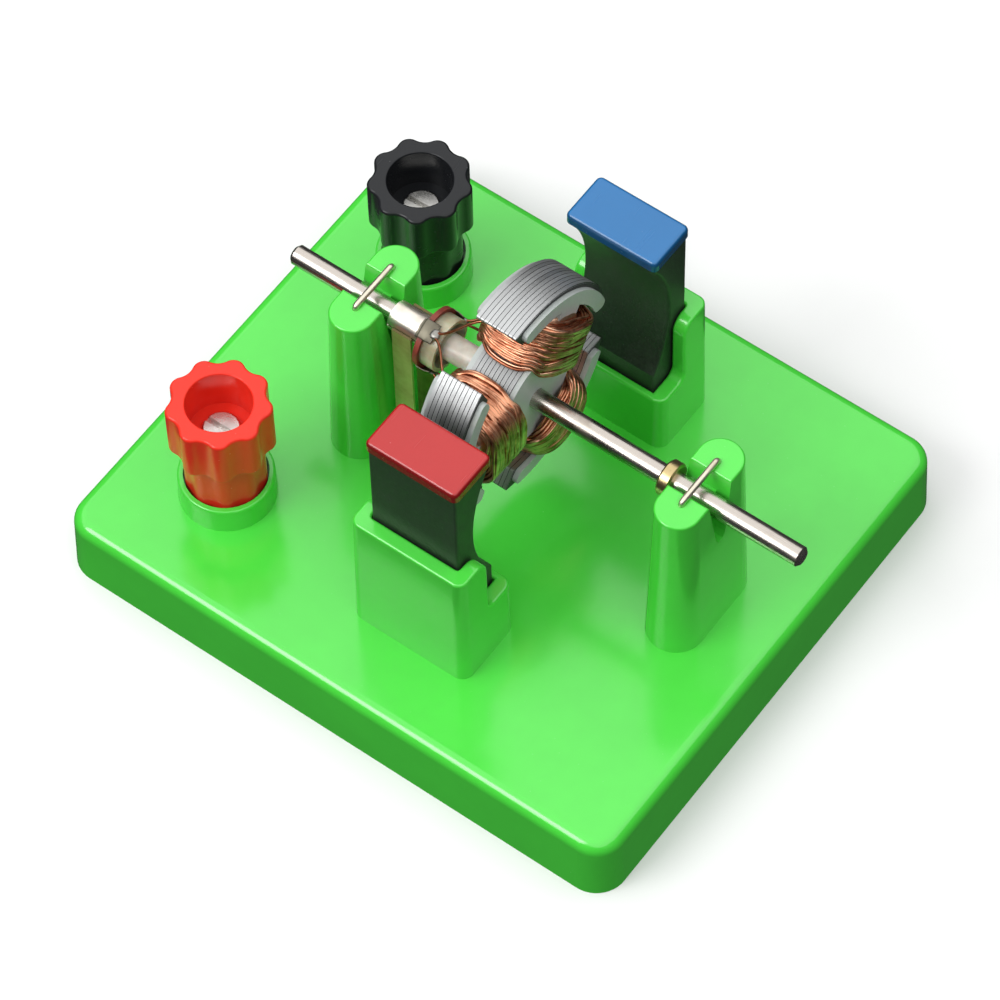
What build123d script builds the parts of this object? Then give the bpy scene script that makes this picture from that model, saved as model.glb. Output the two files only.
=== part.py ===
from build123d import *
import math
import os

# Demonstration electric motor for the classroom: a three-pole rotor turning between two
# block magnets on a moulded base, with two screw terminals feeding two strip brushes.
# Lengths are in millimetres. The shaft runs along X, the magnets stand at -Y (red) and
# +Y (blue), the commutator and the terminals are at the -X end, and +Z is up.
# Dimensions are given from the middle of the base; placed() then moves every piece so
# that the origin is under the middle of the whole motor, shaft overhang included.

# ---------------------------------------------------------------- driving dimensions
base_length = 100.0
base_width = 87.0
base_height = 12.2
base_draft = 2.2            # degrees
base_corner = 5.0
base_edge_fillet = 2.0
plate_thickness = 2.4
rim_thickness = 2.4

shaft_radius = 1.6
shaft_height = 41.2
shaft_left = -36.9
shaft_right = 53.3
shaft_chamfer = 0.45
running_gap = 0.05

post_left_x = -22.3
post_right_x = 35.4
post_length = 19.4
post_width = 9.1
post_top = 44.6
post_draft = 1.77           # degrees
post_edge = 0.4
slot_half_top = 2.75
slot_half_low = 1.1
slot_low = 34.0
slot_floor = 33.0
saddle_half = 1.5

staple_wire = 1.0
staple_half_span = 4.45
staple_leg = 6.0
staple_bend = 0.6

rotor_middle = 2.4
rotor_radius = 18.5
shoe_inner_radius = 15.1
shoe_half_angle = 46.3      # degrees
shoe_undercut = 4.0         # degrees, how much less the shoe spreads on its inside
shoe_tip_fillet = 0.3
hub_radius = 8.2
neck_half = 2.8
pole_count = 3
first_pole_angle = 54.7     # degrees from +Y towards +Z
lamination_count = 10
lamination_pitch = 0.7
lamination_groove = 0.09
groove_depth = 0.2
end_plate_thickness = 0.8
end_plate_inset = 0.2
end_plate_rim_inset = 0.8
end_plate_tip_fillet = 0.9

wire = 0.4
wire_pitch = 0.93
turns_per_layer = 6
winding_half_across = 5.4
winding_half_along = 6.05
winding_low = 6.8
winding_high = 13.9
first_turn_radius = 7.6
first_end_drop = 0.42
wire_seat = 0.02
lead_bend_start = -4.0

disc_radius = 4.9
disc_left = -11.9
disc_right = -11.1
lead_circle = 4.6
lead_half_angle = 6.0       # degrees
collar_radius = 4.3
collar_right = -8.7
collar_rim = 0.6
collar_dish = 1.6
spacer_radius = 2.1
commutator_left = -18.35
commutator_right = -13.0
commutator_radius = 2.35
commutator_sleeve_radius = 1.95
segment_gap = 0.35
thrust_radius = 2.85
thrust_left = 29.5
thrust_right = 31.5

magnet_middle = 5.7
magnet_length = 15.3
magnet_inner = 20.0
magnet_outer = 28.0
magnet_low = 14.2
magnet_top = 56.4
magnet_bore = 24.0
cap_low = 55.1
cap_top = 57.0
cap_wall = 0.35
pocket_gap = 0.15
magnet_edge = 0.4

holder_middle = 5.8
holder_length = 20.8
holder_inner = 18.4
holder_outer = 31.0
holder_top = 37.4
holder_low_wall = 24.3
holder_step = 24.4
holder_draft = 0.9          # degrees
holder_corner = 2.0
holder_edge = 0.45

terminal_x = -32.5
terminal_y = 24.5
boss_radius = 7.5
boss_top = 17.0
boss_bore = 6.45
boss_floor = 14.2
stud_radius = 2.9
stud_low = 4.2
stud_top = 29.0
stud_slot = 0.9
nut_across_flats = 10.0
nut_height = 4.0
washer_radius = 5.6
washer_thickness = 0.8
knob_top = 35.5
knob_head_low = 26.0
knob_peak = 8.0
knob_valley = 7.1
knob_lobes = 9
knob_body_radius = 6.2
knob_flute = 0.3
knob_edge = 0.5
knob_cup_radius = 5.0
knob_cup_floor = 27.9
red_knob_angle = 28.0       # degrees
black_knob_angle = 22.0     # degrees

brush_left = -17.1
brush_right = -13.7
brush_thickness = 0.4
brush_gap = 0.1
brush_top = 41.7
brush_slot_margin = 0.3
brush_foot = 6.0
strap_half = 2.0
strap_eye = 4.6

# ---------------------------------------------------------------- derived dimensions
plate_underside = base_height - plate_thickness
stack_length = lamination_count * lamination_pitch
stack_left = rotor_middle - stack_length / 2
stack_right = rotor_middle + stack_length / 2
overhang_shift = -(shaft_right - base_length / 2) / 2
brush_face = commutator_radius + brush_gap
shaft_axis = Pos(0, 0, shaft_height)
least_gap = {}


# ---------------------------------------------------------------- shared helpers
def placed(shape):
    """Move a piece from the base's own middle to the middle of the whole motor."""
    return Pos(overhang_shift, 0, 0) * shape


def cross_plane(x, height=shaft_height):
    """Plane square to the shaft: its x runs along +Y, its y along +Z, its normal along +X."""
    return Plane(origin=(x, 0, height), x_dir=(0, 1, 0), z_dir=(1, 0, 0))


def rod(x_start, x_end, radius):
    """Round bar along the shaft axis."""
    return extrude(cross_plane(x_start) * Circle(radius), x_end - x_start)


def ring(x_start, x_end, outer, inner):
    """Round tube along the shaft axis."""
    return rod(x_start, x_end, outer) - rod(x_start, x_end, inner)


def upright(x, y, z_low, z_high, radius):
    """Vertical round bar."""
    return Pos(x, y, z_low) * extrude(Circle(radius), z_high - z_low)


def block(x_low, x_high, y_low, y_high, z_low, z_high):
    """Plain box between two corners."""
    size = (x_high - x_low, y_high - y_low, z_high - z_low)
    middle = ((x_low + x_high) / 2, (y_low + y_high) / 2, (z_low + z_high) / 2)
    return Pos(*middle) * Box(*size)


def side_prism(points, x_low, x_high, side):
    """Prism along X with an outline given as (distance from the shaft, height) pairs."""
    outline = Polyline([(side * d, h) for d, h in points], close=True)
    return extrude(cross_plane(x_low, 0) * make_face(outline), x_high - x_low)


def smooth_arc(start, end, tangent):
    """Arc from start to end that leaves along tangent, or a line where they are in line."""
    chord = end - start
    along = chord.normalized()
    across = tangent - along * tangent.dot(along)
    if across.length < 1e-6:
        return Line(start, end)
    half_turn = math.acos(max(-1.0, min(1.0, tangent.dot(along))))
    rise = chord.length / 2 * math.tan(half_turn / 2)
    return ThreePointArc(start, start + chord * 0.5 + across.normalized() * rise, end)


def biarc(start, start_tangent, end, end_tangent):
    """Two arcs that meet smoothly and take one direction to the other."""
    span = end - start
    both = span.dot(start_tangent + end_tangent)
    turn = 2 * (1 - start_tangent.dot(end_tangent))
    if turn < 1e-9:
        reach = span.dot(span) / (4 * span.dot(start_tangent))
    else:
        reach = (math.sqrt(both * both + turn * span.dot(span)) - both) / turn
    joint = (start + start_tangent * reach + end - end_tangent * reach) * 0.5
    second_start = (end - end_tangent * reach - joint).normalized()
    return [smooth_arc(start, joint, start_tangent), smooth_arc(joint, end, second_start)]


# ---------------------------------------------------------------- base and what stands on it
def base_plate():
    """Moulded tray: a top plate on a drafted rim, with a dished boss for each terminal."""
    outline = RectangleRounded(base_length, base_width, base_corner)
    body = extrude(outline, base_height, taper=base_draft)
    body = fillet(body.faces().sort_by(Axis.Z)[-1].edges(), base_edge_fillet)
    inside = RectangleRounded(
        base_length - 2 * rim_thickness, base_width - 2 * rim_thickness, base_corner - rim_thickness
    )
    body -= extrude(inside, plate_underside, taper=base_draft)
    for side in (-1, 1):
        boss = extrude(Circle(boss_radius), boss_top - base_height, taper=base_draft)
        boss = fillet(boss.faces().sort_by(Axis.Z)[-1].edges(), 0.4)
        body += Pos(terminal_x, side * terminal_y, base_height) * boss
        body -= upright(terminal_x, side * terminal_y, boss_floor, boss_top, boss_bore)
        body -= upright(terminal_x, side * terminal_y, 0, boss_floor, stud_radius + running_gap)
        near, far = sorted((side * (brush_face - brush_slot_margin),
                            side * (brush_face + brush_thickness + brush_slot_margin)))
        body -= block(brush_left - brush_slot_margin, brush_right + brush_slot_margin,
                      near, far, plate_underside - 1, base_height + 1)
    return body


def bearing_post(x):
    """Upright with rounded ends, split by a tapering slot in which a saddle carries the shaft."""
    outline = SlotOverall(post_length, post_width, rotation=90)
    body = Pos(x, 0, base_height) * extrude(outline, post_top - base_height, taper=post_draft)
    reach = post_width
    notch = [
        (slot_half_top, post_top), (slot_half_low, slot_low), (slot_half_low / 2, slot_floor),
        (-slot_half_low / 2, slot_floor), (-slot_half_low, slot_low), (-slot_half_top, post_top),
    ]
    slot = side_prism(notch, x - reach, x + reach, 1)
    saddle = block(x - saddle_half, x + saddle_half, -slot_half_top, slot_half_top,
                   slot_floor, shaft_height)
    saddle -= rod(x - reach, x + reach, shaft_radius + running_gap)
    body -= slot - saddle
    rim = body.edges().filter_by_position(Axis.Z, post_top - 0.01, post_top + 0.01)
    body = fillet(rim, post_edge)
    hole = staple_wire / 2 + 0.02
    for side in (-1, 1):
        body -= upright(x, side * staple_half_span, post_top - staple_leg - 0.5, post_top, hole)
    return body


def shaft_staples():
    """Two wire staples, each bridging the slot of one post above the shaft."""
    over = post_top + staple_wire / 2
    foot = post_top - staple_leg
    staples = []
    for x in (post_left_x, post_right_x):
        path = FilletPolyline(
            (x, -staple_half_span, foot), (x, -staple_half_span, over),
            (x, staple_half_span, over), (x, staple_half_span, foot), radius=staple_bend,
        )
        section = Plane(origin=path @ 0, z_dir=path % 0) * Circle(staple_wire / 2)
        staples.append(sweep(section, path=path))
    return Compound(staples)


def magnet_holder(side):
    """Open-topped pocket: a tall back whose side walls curve down to a low wall at the rotor."""
    depth = holder_outer - holder_inner
    outline = RectangleRounded(holder_length, depth, holder_corner)
    body = extrude(outline, holder_top - base_height, taper=holder_draft)
    body = Pos(holder_middle, side * (holder_inner + depth / 2), base_height) * body
    low, high = sorted((side * (magnet_inner - pocket_gap), side * (magnet_outer + pocket_gap)))
    body -= block(magnet_middle - magnet_length / 2 - pocket_gap,
                  magnet_middle + magnet_length / 2 + pocket_gap,
                  low, high, magnet_low, holder_top)
    curve = FilletPolyline(
        (side * (holder_inner - 2), holder_low_wall), (side * holder_step, holder_low_wall),
        (side * holder_step, holder_top), (side * (holder_step + 6), holder_top),
        radius=[1.5, 2.5],
    )
    above = holder_top + 2
    lid = Polyline(curve @ 1, (side * (holder_step + 6), above),
                   (side * (holder_inner - 2), above), curve @ 0)
    cut = make_face(curve.edges() + lid.edges())
    reach = holder_length
    body -= extrude(cross_plane(holder_middle - reach, 0) * cut, 2 * reach)
    upper = body.edges().filter_by_position(Axis.Z, holder_low_wall - 0.3, holder_top + 0.1)
    return fillet(upper, holder_edge)


def magnet(side):
    """Upright ferrite block whose rotor side is hollowed to an arc around the shaft."""
    low, high = sorted((side * magnet_inner, side * magnet_outer))
    left = magnet_middle - magnet_length / 2
    right = magnet_middle + magnet_length / 2
    body = block(left, right, low, high, magnet_low, magnet_top)
    body -= rod(left - 1, right + 1, magnet_bore)
    return fillet(body.edges(), magnet_edge)


def magnet_cap(side):
    """Coloured plastic cap pressed over the top of a magnet."""
    left = magnet_middle - magnet_length / 2
    right = magnet_middle + magnet_length / 2
    low, high = sorted((side * magnet_inner, side * magnet_outer))
    body = block(left - cap_wall, right + cap_wall, low - cap_wall, high + cap_wall,
                 cap_low, cap_top)
    body = fillet(body.edges().filter_by(Axis.Z), 0.9)
    body = fillet(body.faces().sort_by(Axis.Z)[-1].edges(), 0.7)
    return body - block(left, right, low, high, cap_low, magnet_top)


# ---------------------------------------------------------------- terminals and brushes
def terminal_stud(side):
    """Threaded stud of a terminal, shown at its thread's outside size, slotted at the top."""
    y = side * terminal_y
    body = upright(terminal_x, y, stud_low, stud_top, stud_radius)
    body = chamfer(body.edges().sort_by(Axis.Z)[-1], 0.3)
    body -= block(terminal_x - stud_radius, terminal_x + stud_radius,
                  y - stud_slot / 2, y + stud_slot / 2, stud_top - stud_slot, stud_top)
    return body


def terminal_nuts():
    """Hexagon nuts under the plate that hold the studs and the brush straps."""
    nuts = []
    top = plate_underside - brush_thickness
    for side in (-1, 1):
        body = extrude(RegularPolygon(nut_across_flats / 2, 6, major_radius=False), nut_height)
        body -= extrude(Circle(stud_radius), nut_height)
        nuts.append(Pos(terminal_x, side * terminal_y, top - nut_height) * body)
    return Compound(nuts)


def clamp_washer(side):
    """Washer captive under a terminal knob; it presses the wire and rises with the knob."""
    z = boss_floor
    body = upright(terminal_x, side * terminal_y, z, z + washer_thickness, washer_radius)
    return body - upright(terminal_x, side * terminal_y, z, z + washer_thickness,
                          stud_radius + running_gap)


def lobed_face(peak, valley, turned):
    """Round outline with equal lobes: an arc over each peak and an arc through each valley."""
    middle = (peak + valley) / 2
    step = 360 / knob_lobes
    edges = []

    def at(radius, angle):
        return Vector(radius, 0).rotate(Axis.Z, angle + turned)

    for lobe in range(knob_lobes):
        centre = lobe * step
        edges.append(ThreePointArc(at(middle, centre - step / 4), at(peak, centre),
                                   at(middle, centre + step / 4)))
        edges.append(ThreePointArc(at(middle, centre + step / 4), at(valley, centre + step / 2),
                                   at(middle, centre + 3 * step / 4)))
    return make_face(edges)


def terminal_knob(side, turned):
    """Screw knob: lobed head with an open cup on a lightly fluted body, bored for the stud."""
    low = boss_floor + washer_thickness
    head = lobed_face(knob_peak, knob_valley, turned)
    head = Pos(0, 0, knob_head_low) * extrude(head, knob_top - knob_head_low)
    head = fillet(head.faces().sort_by(Axis.Z)[-1].edges(), knob_edge)
    head = fillet(head.faces().sort_by(Axis.Z)[0].edges(), knob_edge)
    trunk = lobed_face(knob_body_radius, knob_body_radius - knob_flute, turned)
    trunk = Pos(0, 0, low) * extrude(trunk, knob_head_low - low)
    body = head + trunk
    body -= upright(0, 0, knob_cup_floor, knob_top, knob_cup_radius)
    mouth = body.faces().sort_by(Axis.Z)[-1].edges().filter_by(GeomType.CIRCLE)
    body = fillet(mouth, knob_edge / 2)
    body -= upright(0, 0, low, knob_cup_floor, stud_radius + running_gap)
    return Pos(terminal_x, side * terminal_y, 0) * body


def brush(side):
    """One springy strip: an eye under the terminal, a flat strap, and a blade at the commutator."""
    face = side * brush_face
    back = side * (brush_face + brush_thickness)
    foot = side * (brush_face + brush_foot)
    low = plate_underside - brush_thickness
    near, far = sorted((face, back))
    blade = block(brush_left, brush_right, near, far, low, brush_top)
    near, far = sorted((face, foot))
    blade += block(brush_left, brush_right, near, far, low, plate_underside)
    start = Vector((brush_left + brush_right) / 2, foot - side * strap_half)
    end = Vector(terminal_x, side * terminal_y)
    along = (end - start).normalized()
    across = Vector(-along.Y, along.X) * strap_half
    strap = make_face(Polyline(start + across, end + across, end - across, start - across,
                               close=True))
    strap += Pos(start.X, start.Y) * Circle(strap_half)
    strap += Pos(end.X, end.Y) * Circle(strap_eye)
    strap -= Pos(end.X, end.Y) * Circle(stud_radius)
    return blade + Pos(0, 0, low) * extrude(strap, brush_thickness)


# ---------------------------------------------------------------- rotor
def pole_angles():
    """Direction of each pole, in degrees from +Y towards +Z."""
    return [first_pole_angle + 360 / pole_count * k for k in range(pole_count)]


def pole_outline(inset, rim_inset, tip_fillet):
    """Hub with T-shaped poles, drawn in by inset, and by rim_inset at its rim and tips."""
    outer = rotor_radius - rim_inset
    inner = shoe_inner_radius + inset
    spread = math.radians(shoe_half_angle) - rim_inset / rotor_radius
    inside = spread - math.radians(shoe_undercut)

    def at(radius, angle):
        return (radius * math.cos(angle), radius * math.sin(angle))

    shoe = make_face([
        ThreePointArc(at(outer, -spread), at(outer, 0), at(outer, spread)),
        Line(at(outer, spread), at(inner, inside)),
        ThreePointArc(at(inner, inside), at(inner, 0), at(inner, -inside)),
        Line(at(inner, -inside), at(outer, -spread)),
    ])
    shoe = fillet(shoe.vertices(), tip_fillet)
    middle = (shoe_inner_radius + rotor_radius) / 2
    neck = Pos(middle / 2, 0) * Rectangle(middle, 2 * (neck_half - inset))
    outline = Circle(hub_radius - inset)
    for angle in pole_angles():
        outline += Rot(0, 0, angle) * (shoe + neck)
    return outline


def core_laminations():
    """Stack of steel laminations on the shaft, with a fine groove between each and the next."""
    sheet = pole_outline(0, 0, shoe_tip_fillet)
    inner = pole_outline(groove_depth, groove_depth, shoe_tip_fillet)
    body = extrude(cross_plane(stack_left) * inner, stack_length)
    for layer in range(lamination_count):
        x = stack_left + layer * lamination_pitch + lamination_groove / 2
        body += extrude(cross_plane(x) * sheet, lamination_pitch - lamination_groove)
    return body - rod(stack_left - 1, stack_right + 1, shaft_radius)


def end_plate(x_low):
    """Pale insulating plate against one end of the stack, its rim well inside the poles'."""
    outline = pole_outline(end_plate_inset, end_plate_rim_inset, end_plate_tip_fillet)
    body = extrude(cross_plane(x_low) * outline, end_plate_thickness)
    return body - rod(x_low - 1, x_low + end_plate_thickness + 1, shaft_radius)


def pole_point(angle, x, outward, sideways):
    """Point at x, given its distance out along a pole and its distance to the pole's side."""
    turn = math.radians(angle)
    y = outward * math.cos(turn) - sideways * math.sin(turn)
    z = outward * math.sin(turn) + sideways * math.cos(turn)
    return Vector(x, y, shaft_height + z)


def inner_winding(angle):
    """Plain inner layers of a coil: an oval block around the neck of one pole, on the hub."""
    quarter = [(winding_half_across, 0), (0, winding_half_along),
               (-winding_half_across, 0), (0, -winding_half_along)]
    heading = [(0, 1), (-1, 0), (0, -1), (1, 0)]
    edges = []
    for k in range(4):
        n = (k + 1) % 4
        edges += biarc(Vector(*quarter[k]), Vector(*heading[k]),
                       Vector(*quarter[n]), Vector(*heading[n]))
    turn = math.radians(angle)
    plane = Plane(origin=pole_point(angle, rotor_middle, winding_low, 0),
                  x_dir=(0, -math.sin(turn), math.cos(turn)),
                  z_dir=(0, math.cos(turn), math.sin(turn)))
    hole_along = stack_length + 2 * end_plate_thickness
    oval = make_face(edges) - Rectangle(2 * neck_half, hole_along)
    body = extrude(plane * oval, winding_high - winding_low)
    return body - rod(rotor_middle - hole_along / 2, rotor_middle + hole_along / 2, hub_radius)


def coil_stations():
    """Quarter-turn stations of a coil: turn angle, distance out, half width and half length.

    The wire climbs out along the pole in a first layer, moves up one wire in the half turn
    where it reverses, and comes back in a second layer to the side opposite its start. Its
    first end lies a little lower, so that its lead passes under the second layer.
    """
    climb = turns_per_layer * 4
    total = 2 * climb + 2
    stations = []
    for quarter in range(total + 1):
        outward_steps = min(quarter, climb) - max(0, quarter - climb - 2)
        outward = first_turn_radius + outward_steps * wire_pitch / 4
        if quarter == 0:
            outward -= first_end_drop
        layer = min(1.0, max(0.0, (quarter - climb) / 2))
        lift = wire / 2 + wire_seat + layer * wire_pitch
        stations.append((quarter * math.pi / 2, outward,
                         winding_half_across + lift, winding_half_along + lift))
    return stations


def coil_route(angle):
    """Centre line of one coil's wire, from the commutator disc round the pole and back."""
    stations = coil_stations()
    points = []
    for turn, outward, across, along in stations:
        points.append(pole_point(angle, rotor_middle + along * math.sin(turn), outward,
                                 across * math.cos(turn)))
    tangents = []
    for n, (turn, outward, across, along) in enumerate(stations):
        rise = 0.0
        if 0 < n < len(stations) - 1:
            rise = (stations[n + 1][1] - stations[n - 1][1]) / math.pi
        ahead = pole_point(angle, along * math.cos(turn), rise, -across * math.sin(turn))
        tangents.append((ahead - Vector(0, 0, shaft_height)).normalized())
    edges = []
    for n in range(len(points) - 1):
        edges += biarc(points[n], tangents[n], points[n + 1], tangents[n + 1])
    x_axis = Vector(1, 0, 0)
    pole_step = 360 / pole_count / 2

    def lead(side, point):
        """Lead beside the pole: along the shaft, an S-bend inwards, and square to the disc."""
        tab = math.radians(side * (pole_step - lead_half_angle))
        out = lead_circle * math.cos(tab)
        aside = lead_circle * math.sin(tab)
        foot = pole_point(angle, disc_right, out, aside)
        bend = pole_point(angle, disc_right + wire, out, aside)
        level = Vector(lead_bend_start, point.Y, point.Z)
        return [Line(foot, bend)] + biarc(bend, x_axis, level, x_axis) + [Line(level, point)]

    start = lead(1, points[0])
    finish = lead(-1, points[-1])
    return Wire(start + edges + finish)


def wire_gap(route):
    """Least distance between wire surfaces of a coil, on points at least one turn side apart."""
    count = 1500
    length = route.length
    points = [route.position_at(n / count) for n in range(count + 1)]
    apart = 6.0
    skip = int(apart / length * count) + 1
    least = length
    for n in range(0, count - skip):
        here = points[n]
        for m in range(n + skip, count + 1):
            there = points[m]
            dx = here.X - there.X
            dy = here.Y - there.Y
            dz = here.Z - there.Z
            square = dx * dx + dy * dy + dz * dz
            if square < least * least:
                least = math.sqrt(square)
    return least - wire


def coil(angle):
    """Outer turns of one coil: a single unbroken wire with both leads."""
    route = coil_route(angle)
    if not least_gap:
        least_gap["coil"] = wire_gap(route)
    section = Plane(origin=route @ 0, z_dir=route % 0) * Circle(wire / 2)
    return sweep(section, path=route)


def shaft():
    """Ground steel shaft with chamfered ends."""
    body = rod(shaft_left, shaft_right, shaft_radius)
    return chamfer(body.edges().filter_by(GeomType.CIRCLE), shaft_chamfer)


def commutator_segments():
    """Three copper segments around an insulating sleeve, parted by narrow slots."""
    tube = ring(commutator_left, commutator_right, commutator_radius, commutator_sleeve_radius)
    for angle in pole_angles():
        slot = block(commutator_left - 1, commutator_right + 1, 0, 2 * commutator_radius,
                     -segment_gap / 2, segment_gap / 2)
        tube -= shaft_axis * Rot(angle, 0, 0) * slot
    return Compound(tube.solids())


def commutator_sleeve():
    """Insulating sleeve between the shaft and the segments, running on to the disc."""
    return ring(commutator_left, disc_left, commutator_sleeve_radius, shaft_radius)


def commutator_disc():
    """Red-brown fibre disc at which the coil leads end."""
    return ring(disc_left, disc_right, disc_radius, shaft_radius)


def commutator_collar():
    """Khaki insulating collar beside the disc, dished on its rotor side."""
    body = ring(disc_right, collar_right, collar_radius, shaft_radius)
    dish = ring(collar_right - collar_dish, collar_right, collar_radius - collar_rim, spacer_radius)
    return body - dish


def spacer_sleeve():
    """Pale sleeve that keeps the rotor core off the collar."""
    return ring(collar_right, stack_left - end_plate_thickness, spacer_radius, shaft_radius)


def thrust_collar():
    """Brass collar that takes the shaft's end play at the right post."""
    body = ring(thrust_left, thrust_right, thrust_radius, shaft_radius)
    edges = body.edges().filter_by(GeomType.CIRCLE).sort_by(SortBy.RADIUS)[-2:]
    return chamfer(edges, 0.3)


# ---------------------------------------------------------------- the whole motor
def all_nodes():
    """Every node by name."""
    nodes = {
        "base_plate": base_plate(),
        "left_bearing_post": bearing_post(post_left_x),
        "right_bearing_post": bearing_post(post_right_x),
        "shaft_staples": shaft_staples(),
        "terminal_nuts": terminal_nuts(),
        "shaft": shaft(),
        "core_laminations": core_laminations(),
        "left_end_plate": end_plate(stack_left - end_plate_thickness),
        "right_end_plate": end_plate(stack_right),
        "commutator_segments": commutator_segments(),
        "commutator_sleeve": commutator_sleeve(),
        "commutator_disc": commutator_disc(),
        "commutator_collar": commutator_collar(),
        "spacer_sleeve": spacer_sleeve(),
        "thrust_collar": thrust_collar(),
    }
    knob_turns = {"red": red_knob_angle, "black": black_knob_angle}
    for name, side in (("red", -1), ("blue", 1)):
        nodes[name + "_magnet_holder"] = magnet_holder(side)
        nodes[name + "_magnet"] = magnet(side)
        nodes[name + "_magnet_cap"] = magnet_cap(side)
    for name, side in (("red", -1), ("black", 1)):
        nodes[name + "_terminal_stud"] = terminal_stud(side)
        nodes[name + "_clamp_washer"] = clamp_washer(side)
        nodes[name + "_terminal_knob"] = terminal_knob(side, knob_turns[name])
        nodes[name + "_brush"] = brush(side)
    for number, angle in enumerate(pole_angles(), start=1):
        nodes[f"coil_{number}_inner_turns"] = inner_winding(angle)
        nodes[f"coil_{number}_outer_turns"] = coil(angle)
    return nodes


def main():
    os.makedirs("parts", exist_ok=True)
    for name, shape in all_nodes().items():
        export_step(placed(shape), f"parts/{name}.step")
    print("least gap of a coil to itself, mm:", round(least_gap["coil"], 3))


main()
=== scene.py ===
import math

import bpy
import numpy as np
from bpy.props import FloatProperty, FloatVectorProperty, IntProperty, PointerProperty
from bpy.types import Operator, Panel, PropertyGroup
from mathutils import Matrix, Vector


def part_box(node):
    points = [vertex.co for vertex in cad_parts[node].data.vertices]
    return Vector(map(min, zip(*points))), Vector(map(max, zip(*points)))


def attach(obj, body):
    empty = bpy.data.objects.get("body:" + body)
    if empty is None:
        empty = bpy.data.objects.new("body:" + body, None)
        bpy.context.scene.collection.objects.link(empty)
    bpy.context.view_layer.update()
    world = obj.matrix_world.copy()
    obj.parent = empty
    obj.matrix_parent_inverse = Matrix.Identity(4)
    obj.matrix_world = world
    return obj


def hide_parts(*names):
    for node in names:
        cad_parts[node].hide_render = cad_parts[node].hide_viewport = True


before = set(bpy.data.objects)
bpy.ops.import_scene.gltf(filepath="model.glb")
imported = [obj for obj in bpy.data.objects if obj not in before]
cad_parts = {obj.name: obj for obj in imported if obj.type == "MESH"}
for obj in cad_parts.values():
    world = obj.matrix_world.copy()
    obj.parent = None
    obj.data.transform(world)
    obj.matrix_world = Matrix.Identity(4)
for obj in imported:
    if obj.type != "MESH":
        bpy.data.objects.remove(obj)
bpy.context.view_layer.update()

bl_info = {
    "name": "Demonstration motor",
    "version": (1, 0, 0),
    "blender": (4, 5, 0),
    "location": "View3D > Sidebar > Motor",
    "description": "Winds, dresses and lights a classroom demonstration motor on its packed frame",
    "category": "Object",
}

MM = 0.001
shaft_low, shaft_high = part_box("shaft")
core_low, core_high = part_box("core_laminations")
disc_low, disc_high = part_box("commutator_disc")
plate_low, plate_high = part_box("right_end_plate")
AXIS_Z = (shaft_low.z + shaft_high.z) / 2
CORE_X = (core_low.x + core_high.x) / 2
PLATE_X = plate_high.x - CORE_X  # from the core's middle to an end plate's face
POLES = (54.7, 174.7, 294.7)  # degrees from +Y towards +Z
TO_GAP = 60  # degrees from a pole to the middle of the next gap
HUB = 8.2 * MM  # radius of the core between the poles
SHOE = 15.1 * MM  # radius of the shoes' inside
NECK = 2.83 * MM  # half the width of a pole's neck
SHEET = 0.7 * MM  # thickness of a lamination


# ------------------------------------------------------------------ shader arithmetic
class Wired:
    """A node socket that takes part in Python arithmetic; each operator adds a Math node."""

    def __init__(self, finish, socket):
        self.finish = finish
        self.socket = socket

    def math(self, operation, *others):
        values = dict(enumerate((self, *others)))
        return self.finish.node("ShaderNodeMath", {"operation": operation}, values)

    def swapped(self, operation, other):
        return self.finish.node("ShaderNodeMath", {"operation": operation}, {0: other, 1: self})

    def __add__(self, other):
        return self.math("ADD", other)

    def __radd__(self, other):
        return self.swapped("ADD", other)

    def __sub__(self, other):
        return self.math("SUBTRACT", other)

    def __rsub__(self, other):
        return self.swapped("SUBTRACT", other)

    def __mul__(self, other):
        return self.math("MULTIPLY", other)

    def __rmul__(self, other):
        return self.swapped("MULTIPLY", other)

    def __truediv__(self, other):
        return self.math("DIVIDE", other)

    def __rtruediv__(self, other):
        return self.swapped("DIVIDE", other)

    def __pow__(self, other):
        return self.math("POWER", other)


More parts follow.
